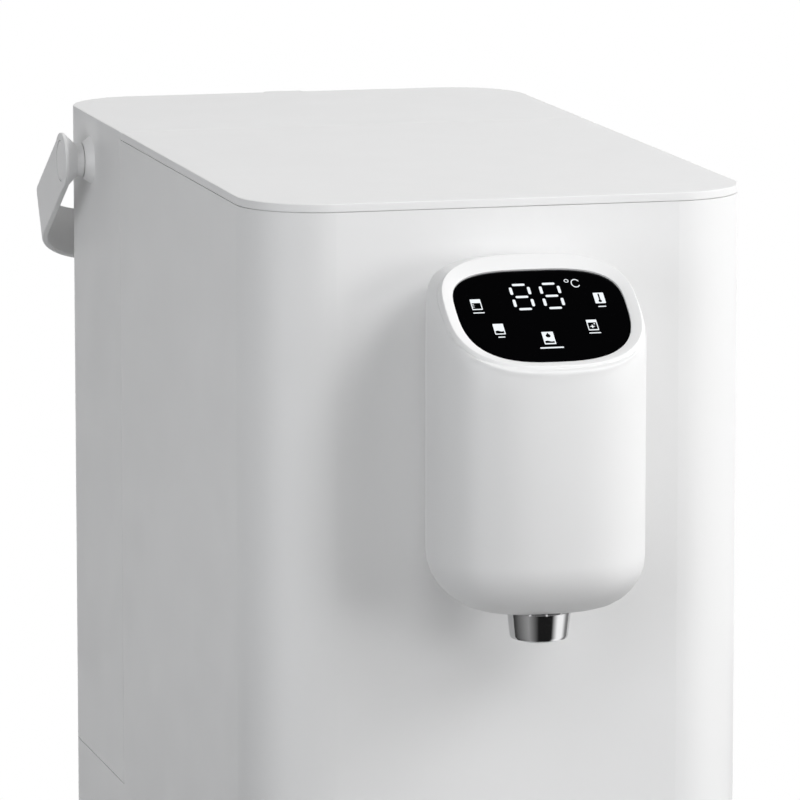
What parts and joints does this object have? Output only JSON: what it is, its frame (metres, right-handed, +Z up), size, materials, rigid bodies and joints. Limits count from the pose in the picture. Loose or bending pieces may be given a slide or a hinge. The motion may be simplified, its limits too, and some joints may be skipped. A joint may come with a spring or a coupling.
{
  "type": "countertop water dispenser",
  "caption": "White countertop reverse osmosis water dispenser with a spout head, slanted touch glass, lift-off rear tank with a strap handle, filter cartridges and drip tray.",
  "frame": {"origin": "on the counter plane, below the middle of the footprint from the drip tray's front to the hanging handle", "axes": "+Z up, the spout faces -Y, +X to the right seen from the front"},
  "size_m": [0.2256, 0.4962, 0.382],
  "materials": {
    "white_satin": "satin moulded white",
    "white_lid": "satin moulded white",
    "grey_plastic": "fine grain",
    "milky_plastic": "natural, slightly milky",
    "black_glass": "polished black",
    "black_plastic": "fine grain",
    "chrome": "polished",
    "steel": "brushed",
    "rubber": "matt",
    "board": "solder mask"
  },
  "bodies": {
    "housing": {"outer_shell": "white_satin", "base_plate": "white_satin", "feet": "rubber", "base_screws": "steel", "rear_panel": "grey_plastic", "rear_screws": "steel", "inlet_socket": "black_plastic", "inlet_pins": "steel", "tank_deck": "grey_plastic", "bay_wall": "white_satin", "service_deck": "grey_plastic", "tank_coupler": "milky_plastic", "filter_manifold": "milky_plastic", "booster_pump": "black_plastic", "pump_motor": "steel", "pump_mounts": "rubber", "power_board": "board", "pure_water_tank": "milky_plastic", "heater": "steel", "heater_sensor": "black_plastic", "dispense_pump": "black_plastic", "solenoid_valve": "grey_plastic", "feed_tube": "milky_plastic", "hot_tube": "milky_plastic", "head_bracket": "white_satin", "head_screws": "steel", "head_shell": "white_satin", "panel_bezel": "white_satin", "touch_glass": "black_glass", "display_board": "board", "digit_module": "black_plastic", "nozzle_ring": "chrome", "nozzle_insert": "milky_plastic"},
    "top_cover": {"top_cover": "white_lid"},
    "pre_filter": {"pre_filter": "white_satin"},
    "membrane_filter": {"membrane_filter": "white_satin"},
    "tank": {"tank_shell": "white_satin", "valve_body": "milky_plastic", "valve_cap": "milky_plastic", "valve_seal": "rubber", "valve_spring": "steel", "pivot_screws": "steel"},
    "poppet": {"valve_poppet": "rubber"},
    "tank_lid": {"tank_lid": "white_lid"},
    "handle": {"tank_handle": "white_satin", "pivot_caps": "white_satin"},
    "tray": {"drip_tray": "white_satin"},
    "grille": {"drip_grille": "steel"}
  },
  "joints": [
    {"name": "cover_lift", "type": "slide", "parent": "housing", "child": "top_cover", "axis": [0, 0, 1], "range_m": [0, 0.12]},
    {"name": "pre_filter_turn", "type": "hinge", "parent": "housing", "child": "pre_filter", "pos_m": [-0.046, 0.05094, 0.24], "axis": [0, 0, 1], "range_deg": [0, 90]},
    {"name": "membrane_turn", "type": "hinge", "parent": "housing", "child": "membrane_filter", "pos_m": [0.046, 0.05094, 0.24], "axis": [0, 0, 1], "range_deg": [0, 90]},
    {"name": "tank_lift", "type": "slide", "parent": "housing", "child": "tank", "axis": [0, 0, 1], "range_m": [0, 0.29]},
    {"name": "poppet_slide", "type": "slide", "parent": "tank", "child": "poppet", "axis": [0, 0, 1], "range_m": [-0.0029, 0], "deforming": ["valve_spring"]},
    {"name": "tank_lid_lift", "type": "slide", "parent": "tank", "child": "tank_lid", "axis": [0, 0, 1], "range_m": [0, 0.08]},
    {"name": "handle_swing", "type": "hinge", "parent": "tank", "child": "handle", "pos_m": [0, 0.16994, 0.3628], "axis": [1, 0, 0], "range_deg": [0, 186]},
    {"name": "tray_slide", "type": "slide", "parent": "housing", "child": "tray", "axis": [0, -1, 0], "range_m": [0, 0.1]},
    {"name": "grille_lift", "type": "slide", "parent": "tray", "child": "grille", "axis": [0, 0, 1], "range_m": [0, 0.04]}
  ],
  "couplings": [
    {"joint": "poppet_slide", "follows": "tank_lift", "ratio": -0.01}
  ]
}
